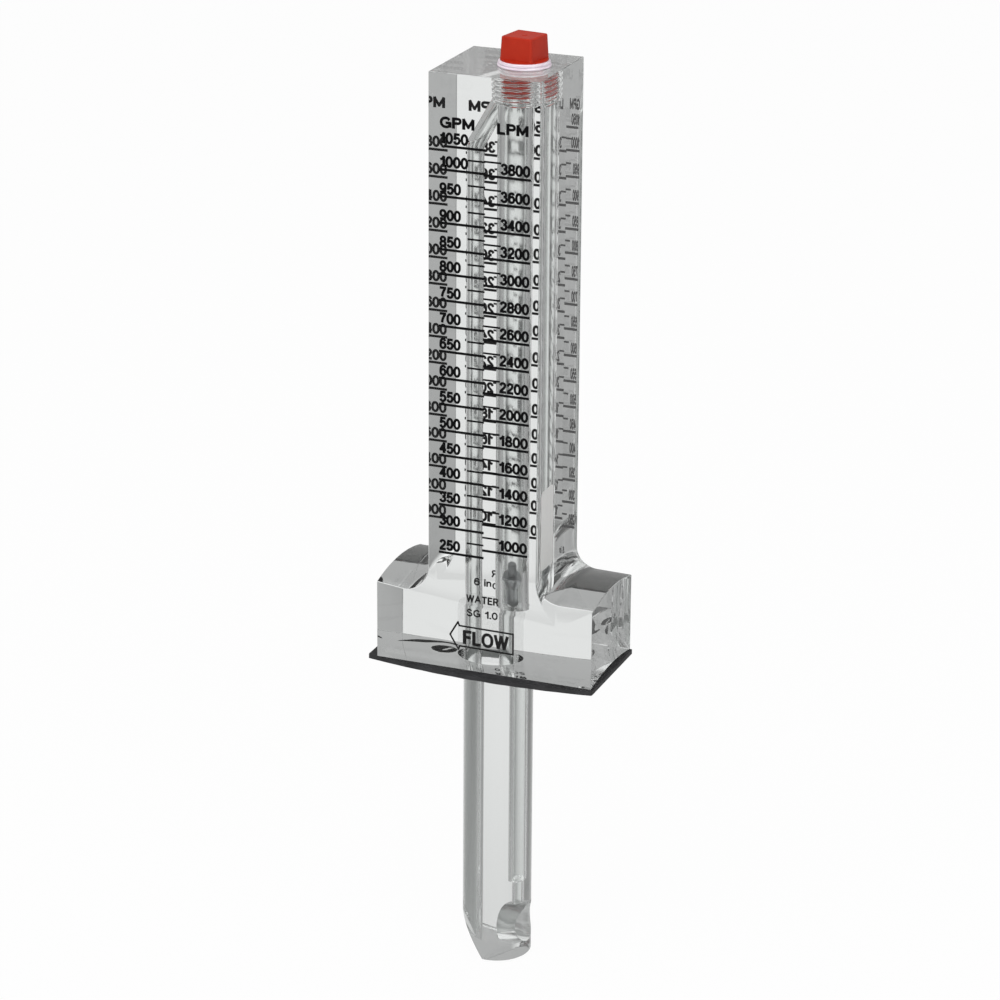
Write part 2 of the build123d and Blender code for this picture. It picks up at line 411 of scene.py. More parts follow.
def turned_steel():
    """Stainless steel, turned on a lathe: dull grey with fine rings from the tool."""
    material = new_material("turned_stainless_steel")
    where = add_node(material, "ShaderNodeTexCoord")
    # The tool's feed leaves rings 0.12 mm apart, drawn twice as coarse so that they show
    rings = add_node(
        material, "ShaderNodeTexWave", {"Vector": (where, "Object"), "Scale": 1300.0, "Distortion": 0.4},
        bands_direction="Z",
    )
    # Stains of about 1.7 mm from the water
    stain = add_node(
        material, "ShaderNodeTexNoise", {"Vector": (where, "Object"), "Scale": 600.0, "Detail": 4.0}
    )
    tone = add_node(
        material, "ShaderNodeValToRGB", {"Fac": (stain, "Fac")}, stops=((0.3, "#A2A3A4"), (0.7, "#BCBDBF"))
    )
    relief = add_node(
        material, "ShaderNodeBump", {"Height": (rings, "Fac"), "Strength": 0.3, "Distance": 0.00002}
    )
    shader = add_node(
        material, "ShaderNodeBsdfPrincipled",
        {"Base Color": (tone, "Color"), "Metallic": 1.0, "Roughness": 0.34, "Normal": (relief, "Normal")},
    )
    add_node(material, "ShaderNodeOutputMaterial", {"Surface": (shader, "BSDF")})
    return material


def cement_film():
    """Acrylic cement in the joint: almost invisible, with a little haze and tiny dry spots."""
    material = new_material("acrylic_cement")
    where = add_node(material, "ShaderNodeTexCoord")
    # Dry spots of about 0.7 mm
    spots = add_node(
        material, "ShaderNodeTexNoise", {"Vector": (where, "Object"), "Scale": 1500.0, "Detail": 2.0}
    )
    cover = add_node(
        material, "ShaderNodeMapRange",
        {"Value": (spots, "Fac"), "From Min": 0.5, "From Max": 0.8, "To Min": 0.03, "To Max": 0.09},
    )
    clear = add_node(material, "ShaderNodeBsdfTransparent", {"Color": (1.0, 1.0, 1.0, 1.0)})
    haze = add_node(
        material, "ShaderNodeBsdfPrincipled", {"Base Color": linear("#D9DCDB"), "Roughness": 0.3}
    )
    shader = add_node(
        material, "ShaderNodeMixShader", {0: (cover, "Result"), 1: (clear, "BSDF"), 2: (haze, "BSDF")}
    )
    add_node(material, "ShaderNodeOutputMaterial", {"Surface": (shader, "Shader")})
    return material


def cement_lump():
    """The same cement where it is thick: full of fine bubbles, so it is a pale haze."""
    material = new_material("thick_acrylic_cement")
    where = add_node(material, "ShaderNodeTexCoord")
    # Bubbles of about 0.45 mm
    bubbles = add_node(material, "ShaderNodeTexVoronoi", {"Vector": (where, "Object"), "Scale": 2200.0})
    cover = add_node(
        material, "ShaderNodeMapRange",
        {"Value": (bubbles, "Distance"), "From Min": 0.1, "From Max": 0.6, "To Min": 0.8, "To Max": 0.96},
    )
    clear = add_node(material, "ShaderNodeBsdfTransparent", {"Color": (1.0, 1.0, 1.0, 1.0)})
    haze = add_node(
        material, "ShaderNodeBsdfPrincipled",
        {"Base Color": linear("#CFD1D0"), "Roughness": 0.45, "IOR": ACRYLIC_IOR},
    )
    shader = add_node(
        material, "ShaderNodeMixShader", {0: (cover, "Result"), 1: (clear, "BSDF"), 2: (haze, "BSDF")}
    )
    add_node(material, "ShaderNodeOutputMaterial", {"Surface": (shader, "Shader")})
    return material


def vinyl_label():
    """A blank vinyl label: matte white film with a fine tooth."""
    material = new_material("vinyl_label")
    where = add_node(material, "ShaderNodeTexCoord")
    # A tooth of about 0.25 mm
    tooth = add_node(
        material, "ShaderNodeTexNoise", {"Vector": (where, "Object"), "Scale": 4000.0, "Detail": 2.0}
    )
    tone = add_node(
        material, "ShaderNodeValToRGB", {"Fac": (tooth, "Fac")}, stops=((0.3, "#DCDCDA"), (0.7, "#E4E4E2"))
    )
    relief = add_node(
        material, "ShaderNodeBump", {"Height": (tooth, "Fac"), "Strength": 0.15, "Distance": 0.00002}
    )
    shader = add_node(
        material, "ShaderNodeBsdfPrincipled",
        {"Base Color": (tone, "Color"), "Roughness": 0.5, "Normal": (relief, "Normal")},
    )
    add_node(material, "ShaderNodeOutputMaterial", {"Surface": (shader, "BSDF")})
    return material


ACRYLIC = polished_acrylic("polished_acrylic", 1.0, 0.0)
MILLED_ACRYLIC = polished_acrylic("milled_acrylic", 0.7, 0.04)
DRILLED = drilled_acrylic()
INK = screen_ink()
RED = moulded_red("moulded_red_polyethylene", "#AE260F", "#BA2E15")
# The thread's red is a brighter copy: painted light for the light that reaches the thread through the acrylic
THREAD_RED_PAINTED_LIGHT = moulded_red("red_with_painted_light", "#F23420", "#FC4A34")
TAPE = thread_seal_tape()
FILM = stretched_tape()
RUBBER = sheet_rubber()
PRESSED_RUBBER = pressed_rubber()
PALE_RUBBER_UNDER_BLOCK = talced_rubber()
STEEL = turned_steel()
CEMENT = cement_film()
BEAD = cement_lump()
VINYL = vinyl_label()


# Modelling helpers
def select_parts(piece, kind, test):
    """In edit mode, selects only the vertices, edges or faces that pass the test."""
    bpy.ops.mesh.select_mode(type=kind)
    mesh = bmesh.from_edit_mesh(piece.data)
    for part in list(mesh.verts) + list(mesh.edges) + list(mesh.faces):
        part.select = False
    mesh.select_flush(False)
    parts = {"VERT": mesh.verts, "EDGE": mesh.edges, "FACE": mesh.faces}[kind]
    for part in parts:
        if test(part):
            part.select_set(True)
    bmesh.update_edit_mesh(piece.data)


def at(metres, millimetres):
    """Whether a mesh coordinate lies at a place in millimetres, to a hundredth."""
    return abs(metres / MM - millimetres) < 0.01


def runs_along(edge, axis):
    """Whether an edge runs along an axis, which is 0 for X, 1 for Y and 2 for Z."""
    return abs((edge.verts[0].co - edge.verts[1].co).normalized()[axis]) > 0.9


def apply_place():
    bpy.ops.object.transform_apply(location=True, rotation=True, scale=True)


def finish_shape(piece, name, material, smooth=30):
    """Merges doubles, turns the faces outwards, smooths the round parts and names the piece."""
    bpy.context.view_layer.objects.active = piece
    bpy.ops.object.mode_set(mode="EDIT")
    bpy.ops.mesh.select_all(action="SELECT")
    bpy.ops.mesh.remove_doubles(threshold=0.002 * MM)
    bpy.ops.mesh.normals_make_consistent(inside=False)
    bpy.ops.object.mode_set(mode="OBJECT")
    bpy.ops.object.select_all(action="DESELECT")
    piece.select_set(True)
    piece.data.materials.clear()
    piece.data.materials.append(material)
    bpy.ops.object.shade_smooth_by_angle(angle=math.radians(smooth))
    piece.name = name
    piece.data.name = name
    piece.select_set(False)
    return piece


def turned(name, axis_x, outline, material, steps=96):
    """Turns an outline of radius and height round the upright line at axis_x."""
    bpy.ops.mesh.primitive_plane_add(size=MM, location=(0, 0, 0))
    piece = bpy.context.object
    bpy.ops.object.mode_set(mode="EDIT")
    bpy.ops.mesh.select_mode(type="VERT")
    bpy.ops.mesh.select_all(action="SELECT")
    bpy.ops.mesh.merge(type="CENTER")
    bpy.ops.transform.translate(value=((axis_x + outline[0][0]) * MM, 0, outline[0][1] * MM))
    for before, after in zip(outline, outline[1:]):
        step = ((after[0] - before[0]) * MM, 0, (after[1] - before[1]) * MM)
        bpy.ops.mesh.extrude_region_move(TRANSFORM_OT_translate={"value": step})
    bpy.ops.mesh.select_all(action="SELECT")
    bpy.ops.mesh.spin(
        steps=steps, angle=2 * math.pi, center=(axis_x * MM, 0, 0), axis=(0, 0, 1), use_auto_merge=True
    )
    bpy.ops.object.mode_set(mode="OBJECT")
    return finish_shape(piece, name, material)


def apply_modifier(piece, kind, **settings):
    bpy.ops.object.select_all(action="DESELECT")
    bpy.context.view_layer.objects.active = piece
    piece.select_set(True)
    made = piece.modifiers.new(kind.lower(), kind)
    for name, value in settings.items():
        setattr(made, name, value)
    bpy.ops.object.modifier_apply(modifier=made.name)
    piece.select_set(False)


def ease_edges(piece, width, segments, sharper_than):
    """Breaks the edges that are sharper than an angle in degrees."""
    apply_modifier(
        piece, "BEVEL", width=width * MM, segments=segments, limit_method="ANGLE",
        angle_limit=math.radians(sharper_than),
    )


def cut_or_join(piece, tool, operation):
    """Boolean of two closed shapes. The tool is used up, and leaves its material on the faces it makes."""
    apply_modifier(
        piece, "BOOLEAN", operation=operation, solver="EXACT", object=tool, material_mode="TRANSFER"
    )
    bpy.data.objects.remove(tool)


# Pipe thread
def port_radius(z):
    """The port's cone: 6.8 mm at its mouth, and narrower by 1 in 32 on the way down."""
    return 6.8 - (TOP_Z - z) / 32


def thread_shape(phase):
    """Share of the thread's depth at a phase of the pitch: flat crests and roots with slanted flanks."""
    phase = phase % 1.0
    return max(0.0, min(1.0, 2.2 - abs(phase - 0.5) * 5.6))


def threaded_tube(foot, head, crest_gap, depth):
    """A tube with open ends whose wall follows the tapered pipe thread."""
    rise = 0.14
    lead_in = 0.4
    bpy.ops.mesh.primitive_circle_add(vertices=72, radius=6.0 * MM, location=(METER_X * MM, 0, foot * MM))
    tube = bpy.context.object
    apply_place()
    bpy.ops.object.mode_set(mode="EDIT")
    bpy.ops.mesh.select_all(action="SELECT")
    for _ in range(round((head - foot) / rise)):
        bpy.ops.mesh.extrude_region_move(TRANSFORM_OT_translate={"value": (0, 0, rise * MM)})
    mesh = bmesh.from_edit_mesh(tube.data)
    for v in mesh.verts:
        x, y, z = v.co.x / MM - METER_X, v.co.y / MM, v.co.z / MM
        turn = math.atan2(y, x) / (2 * math.pi)
        # The thread runs out over 1.2 mm at the port's mouth
        run_out = min(1.0, max(0.0, (TOP_Z + 0.6 - z) / 1.2))
        cut = depth * (1 - thread_shape((z - TOP_Z) / PITCH - turn)) * run_out
        radius = port_radius(min(z, TOP_Z)) - crest_gap - cut
        if z < foot + lead_in:
            radius -= foot + lead_in - z
        v.co.x = (METER_X + radius * math.cos(turn * 2 * math.pi)) * MM
        v.co.y = radius * math.sin(turn * 2 * math.pi) * MM
    bmesh.update_edit_mesh(tube.data)
    bpy.ops.object.mode_set(mode="OBJECT")
    return tube


def close_ends(piece):
    bpy.context.view_layer.objects.active = piece
    bpy.ops.object.mode_set(mode="EDIT")
    bpy.ops.mesh.select_mode(type="EDGE")
    bpy.ops.mesh.select_all(action="DESELECT")
    bpy.ops.mesh.select_non_manifold()
    bpy.ops.mesh.edge_face_add()
    bpy.ops.object.mode_set(mode="OBJECT")


# Clear block
def arch_height(y, radius):
    """How far an arc over the block's depth stands above its ends, at y."""
    return math.sqrt(radius ** 2 - y ** 2) - math.sqrt(radius ** 2 - HALF_WIDTH ** 2)


def saddle_block():
    """A bar for the base, pulled up into the column, arched below and crowned on the ears."""
    bpy.ops.mesh.primitive_cube_add(
        size=1, location=(BASE_X * MM, 0, (SADDLE_Z + EAR_Z) / 2 * MM),
        scale=(BASE_LENGTH * MM, 2 * HALF_WIDTH * MM, (EAR_Z - SADDLE_Z) * MM),
    )
    block = bpy.context.object
    apply_place()
    bpy.ops.object.mode_set(mode="EDIT")
    left, right = COLUMN_X - HALF_WIDTH, COLUMN_X + HALF_WIDTH
    for x in (left, right):
        bpy.ops.mesh.select_all(action="SELECT")
        bpy.ops.mesh.bisect(plane_co=(x * MM, 0, 0), plane_no=(1, 0, 0))
    slices = 24
    rows = [HALF_WIDTH * (2 * i / slices - 1) for i in range(1, slices)]
    for y in rows:
        bpy.ops.mesh.select_all(action="SELECT")
        bpy.ops.mesh.bisect(plane_co=(0, y * MM, 0), plane_no=(0, 1, 0))
    select_parts(
        block, "FACE",
        lambda f: f.normal.z > 0.9 and left < f.calc_center_median().x / MM < right,
    )
    bpy.ops.mesh.extrude_region_move(TRANSFORM_OT_translate={"value": (0, 0, (TOP_Z - EAR_Z) * MM)})
    for y in rows:
        for height, radius in ((SADDLE_Z, PIPE_RADIUS), (EAR_Z, CROWN_RADIUS)):
            select_parts(block, "VERT", lambda v: at(v.co.y, y) and at(v.co.z, height))
            bpy.ops.transform.translate(value=(0, 0, arch_height(y, radius) * MM))
    # Blends of 6 mm between the column and the ears
    select_parts(
        block, "EDGE",
        lambda e: all(
            (at(v.co.x, left) or at(v.co.x, right)) and EAR_Z - 0.1 < v.co.z / MM < EAR_Z + 3
            for v in e.verts
        ),
    )
    bpy.ops.mesh.bevel(offset=6 * MM, offset_type="OFFSET", segments=12, profile=0.5, affect="EDGES")
    bpy.ops.mesh.select_all(action="SELECT")
    bpy.ops.mesh.dissolve_limited(angle_limit=math.radians(0.3))
    bpy.ops.object.mode_set(mode="OBJECT")
    # Every outer edge is eased by hand to about a quarter of a millimetre
    ease_edges(block, width=0.22, segments=3, sharper_than=40)
    return finish_shape(block, "clear_block", ACRYLIC)


def probe_rod():
    """The turned rod with its spigot, and the slanted cut at the tip."""
    cut_start_z = -76.8
    cut_rise, cut_width = 13.5, 9.2
    rod = turned(
        "rod", 0,
        [
            (0, ROD_END_Z), (9.5, ROD_END_Z), (9.72, -90.22), (ROD_RADIUS, -90.0), (ROD_RADIUS, -0.5),
            (9.65, -0.3), (SPIGOT_RADIUS, -0.3), (SPIGOT_RADIUS, 17.1), (0, 17.1),
        ],
        ACRYLIC,
    )
    bpy.context.view_layer.objects.active = rod
    bpy.ops.object.mode_set(mode="EDIT")
    bpy.ops.mesh.select_all(action="SELECT")
    bpy.ops.mesh.bisect(
        plane_co=(-ROD_RADIUS * MM, 0, cut_start_z * MM),
        plane_no=Vector((-cut_rise, 0, -cut_width)).normalized(), use_fill=True, clear_outer=True,
    )
    bpy.ops.object.mode_set(mode="OBJECT")
    ease_edges(rod, width=0.2, segments=2, sharper_than=35)
    return finish_shape(rod, "rod", ACRYLIC)


def waterways():
    """The drills and cutters for every bore in the block and the rod, in the order of their use."""
    metering_bore = turned(
        "metering_bore", METER_X,
        [
            (0, SEAT_Z), (4.8, SEAT_Z), (5.1, PORT_FLOOR_Z), (5.6, PORT_FLOOR_Z + 0.1), (5.6, TOP_Z + 2),
            (0, TOP_Z + 2),
        ],
        DRILLED, steps=128,
    )
    bypass_bore = turned(
        "bypass_bore", BYPASS_X,
        [(0, -95), (BYPASS_RADIUS, -95), (BYPASS_RADIUS, CROSS_Z), (0, CROSS_Z + 1.47)], DRILLED, steps=80,
    )
    high_passage = turned(
        "high_passage", HIGH_X,
        [
            (0, -80.8), (JET_RADIUS, -80.8), (JET_RADIUS, -67.84), (HIGH_RADIUS, -67.3),
            (HIGH_RADIUS, SEAT_Z + 1), (0, SEAT_Z + 1),
        ],
        DRILLED, steps=80,
    )
    cross_passage = turned(
        "cross_passage", 0, [(0, 0), (CROSS_RADIUS, 0), (CROSS_RADIUS, 24.25), (0, 24.25)], DRILLED,
        steps=80,
    )
    leaning = Matrix.Rotation(math.radians(30), 4, "Y")
    cross_passage.matrix_world = Matrix.Translation((BYPASS_X * MM, 0, CROSS_Z * MM)) @ leaning
    # The impact port faces upstream. Its size and height are nearer the photo than the CAD source's
    impact_radius, impact_floor, impact_z = 5.9, 2.2, -80.5
    impact_port = turned(
        "impact_port", 0, [(0, impact_floor), (impact_radius, impact_floor), (impact_radius, 12), (0, 12)],
        MILLED_ACRYLIC,
    )
    upstream = Matrix.Rotation(math.radians(90), 4, "Y")
    impact_port.matrix_world = Matrix.Translation((0, 0, impact_z * MM)) @ upstream
    # The port's tapered thread, as the tap cut it: clear flanks that break up what lies behind
    tapped_port = threaded_tube(PORT_FLOOR_Z, TOP_Z + 0.98, crest_gap=-0.12, depth=0.6)
    close_ends(tapped_port)
    finish_shape(tapped_port, "tapped_port", DRILLED, 40)
    return [metering_bore, bypass_bore, high_passage, cross_passage, impact_port, tapped_port]


def clear_body():
    """Block and rod as one clear piece, because the cement between them has the same index."""
    block = saddle_block()
    cut_or_join(block, probe_rod(), "UNION")
    for tool in waterways():
        cut_or_join(block, tool, "DIFFERENCE")
    # The column's top is left as the cutter milled it
    block.data.materials.append(MILLED_ACRYLIC)
    for face in block.data.polygons:
        if face.normal.z > 0.99 and face.center.z > (TOP_Z - 0.05) * MM:
            face.material_index = len(block.data.materials) - 1
    bpy.context.view_layer.objects.active = block
    block.select_set(True)
    bpy.ops.object.shade_smooth_by_angle(angle=math.radians(35))
    # Flat faces stay optically flat up to their eased edges
    apply_modifier(block, "WEIGHTED_NORMAL", mode="FACE_AREA", weight=100, keep_sharp=True)
    return block


clear_block = clear_body()
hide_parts("body", "probe")
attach(clear_block, "meter")


# Cement in the socket
def cement_ring():
    """The cement round the spigot and over its top, which shows as faint arcs."""
    return turned(
        "cement_film", 0,
        [(0, 16.98), (9.46, 16.98), (9.46, 2.9), (9.5, 2.9), (9.5, 17.02), (0, 17.02)], CEMENT,
    )


def cement_bead():
    """Cement that ran out of the joint: a hazy bead in the gasket's hole and up to the arch."""
    bead = turned(
        "cement_bead", 0,
        [
            (9.51, -0.26), (9.6, -0.26), (9.64, -0.1), (9.64, 1.24), (10.7, 1.26), (10.6, 1.6), (10.2, 1.98),
            (9.51, 2.05), (9.51, -0.26),
        ],
        BEAD,
    )
    arch_at_bead = arch_height(9.6, PIPE_RADIUS)
    for v in bead.data.vertices:
        if v.co.z > 1.5 * MM:
            v.co.z += (arch_height(v.co.y / MM, PIPE_RADIUS) - arch_at_bead) * MM
    return bead


# Print
def ring(*points):
    """A round stroke that closes on itself."""
    return ("round", True, list(points))


def bow(*points):
    """A round stroke with two ends."""
    return ("round", False, list(points))


def bars(*points):
    """Straight strokes from point to point."""
    return ("straight", False, list(points))


# Each letter is its width and its strokes, as shares of its height, along the middle of the line
LETTERS = {
    "0": (0.52, [
        ring(
            (0.26, 1), (0.05, 0.82), (0, 0.5), (0.05, 0.18), (0.26, 0), (0.47, 0.18), (0.52, 0.5),
            (0.47, 0.82),
        ),
    ]),
    "1": (0.36, [bars((0.04, 0.74), (0.2, 0.82), (0.32, 1), (0.32, 0))]),
    "2": (0.52, [
        bow(
            (0.02, 0.72), (0.09, 0.92), (0.27, 1), (0.45, 0.92), (0.5, 0.73), (0.36, 0.45), (0.12, 0.2),
            (0.02, 0),
        ),
        bars((0, 0), (0.52, 0)),
    ]),
    "3": (0.52, [
        bow((0.03, 0.75), (0.1, 0.93), (0.26, 1), (0.43, 0.92), (0.48, 0.76), (0.41, 0.6), (0.22, 0.53)),
        bow((0.22, 0.53), (0.44, 0.47), (0.52, 0.28), (0.44, 0.07), (0.26, 0), (0.08, 0.07), (0, 0.25)),
    ]),
    "4": (0.54, [bars((0.4, 0), (0.4, 1), (0, 0.28), (0.54, 0.28))]),
    "5": (0.52, [
        bars((0.47, 1), (0.1, 1), (0.04, 0.5)),
        bow(
            (0.04, 0.5), (0.26, 0.63), (0.46, 0.54), (0.52, 0.33), (0.43, 0.08), (0.25, 0), (0.07, 0.08),
            (0, 0.25),
        ),
    ]),
    "6": (0.52, [
        ring(
            (0.27, 0.62), (0.08, 0.52), (0.01, 0.32), (0.08, 0.08), (0.27, 0), (0.46, 0.09), (0.52, 0.31),
            (0.46, 0.53),
        ),
        bow((0.01, 0.32), (0.02, 0.62), (0.1, 0.9), (0.29, 1), (0.45, 0.92), (0.49, 0.78)),
    ]),
    "7": (0.52, [bars((0, 1), (0.52, 1)), bow((0.52, 1), (0.34, 0.66), (0.22, 0.33), (0.17, 0))]),
    "8": (0.52, [
        ring(
            (0.26, 1), (0.09, 0.92), (0.04, 0.76), (0.1, 0.6), (0.26, 0.53), (0.42, 0.6), (0.48, 0.76),
            (0.43, 0.92),
        ),
        ring(
            (0.26, 0.53), (0.06, 0.44), (0, 0.27), (0.07, 0.07), (0.26, 0), (0.45, 0.07), (0.52, 0.27),
            (0.46, 0.44),
        ),
    ]),
    "9": (0.52, [
        ring(
            (0.25, 0.38), (0.44, 0.48), (0.51, 0.68), (0.44, 0.92), (0.25, 1), (0.06, 0.91), (0, 0.69),
            (0.06, 0.47),
        ),
        bow((0.51, 0.68), (0.5, 0.38), (0.42, 0.1), (0.23, 0), (0.07, 0.08), (0.03, 0.22)),
    ]),
    "A": (0.66, [bars((0, 0), (0.33, 1), (0.66, 0)), bars((0.12, 0.33), (0.54, 0.33))]),
    "E": (0.48, [bars((0.48, 0), (0, 0), (0, 1), (0.46, 1)), bars((0, 0.52), (0.42, 0.52))]),
    "F": (0.46, [bars((0, 0), (0, 1), (0.46, 1)), bars((0, 0.52), (0.4, 0.52))]),
    "G": (0.66, [
        bow(
            (0.62, 0.78), (0.5, 0.95), (0.34, 1), (0.1, 0.86), (0, 0.5), (0.1, 0.14), (0.34, 0), (0.55, 0.07),
            (0.66, 0.2),
        ),
        bars((0.66, 0.06), (0.66, 0.45), (0.4, 0.45)),
    ]),
    "L": (0.44, [bars((0, 1), (0, 0), (0.44, 0))]),
    "M": (0.68, [bars((0, 0), (0, 1), (0.34, 0.16), (0.68, 1), (0.68, 0))]),
    "O": (0.68, [
        ring(
            (0.34, 1), (0.09, 0.86), (0, 0.5), (0.09, 0.14), (0.34, 0), (0.59, 0.14), (0.68, 0.5),
            (0.59, 0.86),
        ),
    ]),
    "P": (0.5, [
        bars((0, 0), (0, 1), (0.3, 1)),
        bow((0.3, 1), (0.46, 0.93), (0.5, 0.75), (0.46, 0.57), (0.3, 0.49)),
        bars((0.3, 0.49), (0, 0.49)),
    ]),
    "R": (0.54, [
        bars((0, 0), (0, 1), (0.3, 1)),
        bow((0.3, 1), (0.47, 0.93), (0.51, 0.76), (0.46, 0.58), (0.3, 0.5)),
        bars((0.3, 0.5), (0, 0.5)),
        bars((0.3, 0.5), (0.54, 0)),
    ]),
    "S": (0.54, [
        bow(
            (0.49, 0.76), (0.43, 0.93), (0.27, 1), (0.1, 0.94), (0.04, 0.77), (0.12, 0.6), (0.4, 0.46),
            (0.53, 0.28), (0.46, 0.07), (0.27, 0), (0.07, 0.07), (0, 0.26),
        ),
    ]),
    "T": (0.58, [bars((0, 1), (0.58, 1)), bars((0.29, 1), (0.29, 0))]),
    "W": (0.9, [bars((0, 1), (0.22, 0), (0.45, 0.98), (0.68, 0), (0.9, 1))]),
    "i": (0.0, [bars((0, 0), (0, 0.68)), bars((0, 0.92), (0, 1))]),
    "n": (0.4, [
        bars((0, 0), (0, 0.68)),
        bow((0, 0.46), (0.1, 0.63), (0.24, 0.68), (0.37, 0.61), (0.4, 0.44), (0.4, 0)),
    ]),
    ".": (0.0, [bars((0, 0), (0, 0.06))]),
    " ": (0.16, []),
}
LETTER_GAP = 0.26


def word_strokes(words, left, right, foot, height, thick):
    """A word's strokes in millimetres, fitted between its left and right ends."""
    across = sum(LETTERS[letter][0] for letter in words) + LETTER_GAP * (len(words) - 1)
    wide, tall = (right - left - thick) / across, height - thick
    strokes, cursor = [], 0
    for letter in words:
        for shape, closed, points in LETTERS[letter][1]:
            placed = [
                (left + thick / 2 + (cursor + x) * wide, foot + thick / 2 + z * tall) for x, z in points
            ]
            strokes.append((thick, shape, closed, placed))
        cursor += LETTERS[letter][0] + LETTER_GAP
    return strokes


def mark_stroke(left, right, z, thick):
    return (thick, "straight", False, [(left, z), (right, z)])


def stroke_curve(name, thick, strokes):
    """The strokes of one thickness as round bars in the plane of X and Z."""
    overrun = 0.3
    curve = bpy.data.curves.new(name, "CURVE")
    curve.dimensions = "3D"
    curve.resolution_u = 4
    curve.bevel_depth = thick / 2 * MM
    curve.bevel_resolution = 1
    curve.use_fill_caps = True
    for _, shape, closed, points in strokes:
        if shape == "round":
            spline = curve.splines.new("BEZIER")
            spline.bezier_points.add(len(points) - 1)
            for knot, (x, z) in zip(spline.bezier_points, points):
                knot.co = (x * MM, 0, z * MM)
                knot.handle_left_type = knot.handle_right_type = "AUTO"
            spline.use_cyclic_u = closed
            continue
        for start, end in zip(points, points[1:] + points[:1] if closed else points[1:]):
            # Each straight part runs on a little past its corners, so that they are filled
            ahead = Vector((end[0] - start[0], end[1] - start[1])).normalized() * thick * overrun
            spline = curve.splines.new("POLY")
            spline.points.add(1)
            spline.points[0].co = ((start[0] - ahead.x) * MM, 0, (start[1] - ahead.y) * MM, 1)
            spline.points[1].co = ((end[0] + ahead.x) * MM, 0, (end[1] + ahead.y) * MM, 1)
    return curve


def lay_ink(name, strokes):
    """Lays strokes on the front face as a film that lies half in and half out of the surface."""
    film_thickness = 0.05
    films = []
    for thick in sorted({stroke[0] for stroke in strokes}):
        curve = stroke_curve(name, thick, [stroke for stroke in strokes if stroke[0] == thick])
        film = bpy.data.objects.new(name, curve)
        bpy.context.collection.objects.link(film)
        bpy.context.view_layer.objects.active = film
        film.select_set(True)
        bpy.ops.object.convert(target="MESH")
        flattened = Matrix.Diagonal((1, film_thickness / thick, 1, 1))
        film.data.transform(Matrix.Translation((0, -HALF_WIDTH * MM, 0)) @ flattened)
        film.select_set(False)
        films.append(film)
    for film in films:
        film.select_set(True)
    bpy.context.view_layer.objects.active = films[0]
    bpy.ops.object.join()
    whole = bpy.context.object
    whole.data.materials.clear()
    whole.data.materials.append(INK)
    whole.name = whole.data.name = name
    whole.select_set(False)
    return whole


def figure_strokes(value, left, right, mark_z):
    """A number that stands just above its mark."""
    return word_strokes(str(value), left, right, mark_z + 0.55, height=3.35, thick=0.85)


def scale_strokes():
    """Both scales with their heads, and the notes about the pipe and the water."""
    middle = 1.4
    long_line, half_line = 0.82, 0.6
    strokes = word_strokes("GPM", -11.4, -1.5, 154.3, height=3.3, thick=0.9)
    strokes += word_strokes("LPM", 4.8, 13.7, 154.1, height=3.3, thick=0.9)
    # Gallons a minute on the left, where the marks stand almost evenly
    left_heights = [
        149.5, 143.1, 135.8, 128.5, 121.2, 114.4, 107.1, 99.9, 92.8, 85.2, 77.8, 70.4, 63.2, 56.2, 49.0, 42.4,
        35.1,
    ]
    for place, z in enumerate(left_heights):
        value = 1050 - 50 * place
        strokes.append(mark_stroke(-9.8 if value == 1050 else -11.3, middle, z, long_line))
        strokes += figure_strokes(value, -11.5, -3.2 if value > 999 else -5.2, z)
    for high, low in zip(left_heights, left_heights[1:]):
        strokes.append(mark_stroke(-3.2, middle, (high + low) / 2, half_line))
    # Litres a minute on the right, fifteen even marks
    top, bottom, marks = 142.7, 37.3, 15
    step = (top - bottom) / (marks - 1)
    for place in range(marks):
        z = top - place * step
        strokes.append(mark_stroke(middle, 14.2, z, long_line))
        strokes += figure_strokes(3800 - 200 * place, 5.8, 14.35, z)
        strokes.append(mark_stroke(middle, 5.95, z + step / 2, half_line))
    notes = [("6 in", -1.2, 4.0, 26.8), ("WATER", -3.4, 6.2, 21.6), ("SG 1.0", -3.2, 6.0, 17.5)]
    for words, left, right, foot in notes:
        strokes += word_strokes(words, left, right, foot, height=2.3, thick=0.52)
    return strokes


def arrow_strokes():
    """The word in its box, with an arrowhead on the side that the water flows to."""
    outline = [
        (10.5, 8.1), (-5.3, 8.3), (-5.6, 7.2), (-8.06, 11.36), (-5.7, 15.4), (-5.3, 14.35), (10.52, 14.1),
    ]
    box_line = 0.58
    strokes = word_strokes("FLOW", -4.3, 9.3, 8.85, height=4.5, thick=1.05)
    return strokes + [(box_line, "straight", True, outline)]


front_print = lay_ink("printed_scale", scale_strokes())
arrow_print = lay_ink("printed_arrow", arrow_strokes())
# The back has the same scale, turned so that it reads from behind
back_print = front_print.copy()
back_print.data = front_print.data.copy()
back_print.name = back_print.data.name = "printed_scale_back"
bpy.context.collection.objects.link(back_print)
column_axis = Matrix.Translation((COLUMN_X * MM, 0, 0))
back_print.data.transform(column_axis @ Matrix.Rotation(math.pi, 4, "Z") @ column_axis.inverted())
for print_piece in (front_print, back_print, arrow_print):
    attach(print_piece, "meter")


# Float
def turned_float():
    """The float on its seat: a stem with a flared rim for the water, and a knob on top."""
    rest_gap = 0.02
    outline = [
        (0, 0), (1.8, 0), (1.9, 0.03), (2.57, 0.66), (2.6, 0.8), (2.6, 5.75), (2.64, 5.85), (4.24, 8.74),
        (4.3, 8.85), (4.3, 9.56), (4.26, 9.6), (2.05, 9.6), (1.95, 9.7), (1.95, 12.45), (1.9, 12.6),
        (1.7, 12.78), (1.6, 12.8), (0, 12.8),
    ]
    return turned("turned_float", METER_X, [(r, z + (SEAT_Z + rest_gap)) for r, z in outline], STEEL)


float_turned = turned_float()
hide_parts("float")
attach(float_turned, "float")


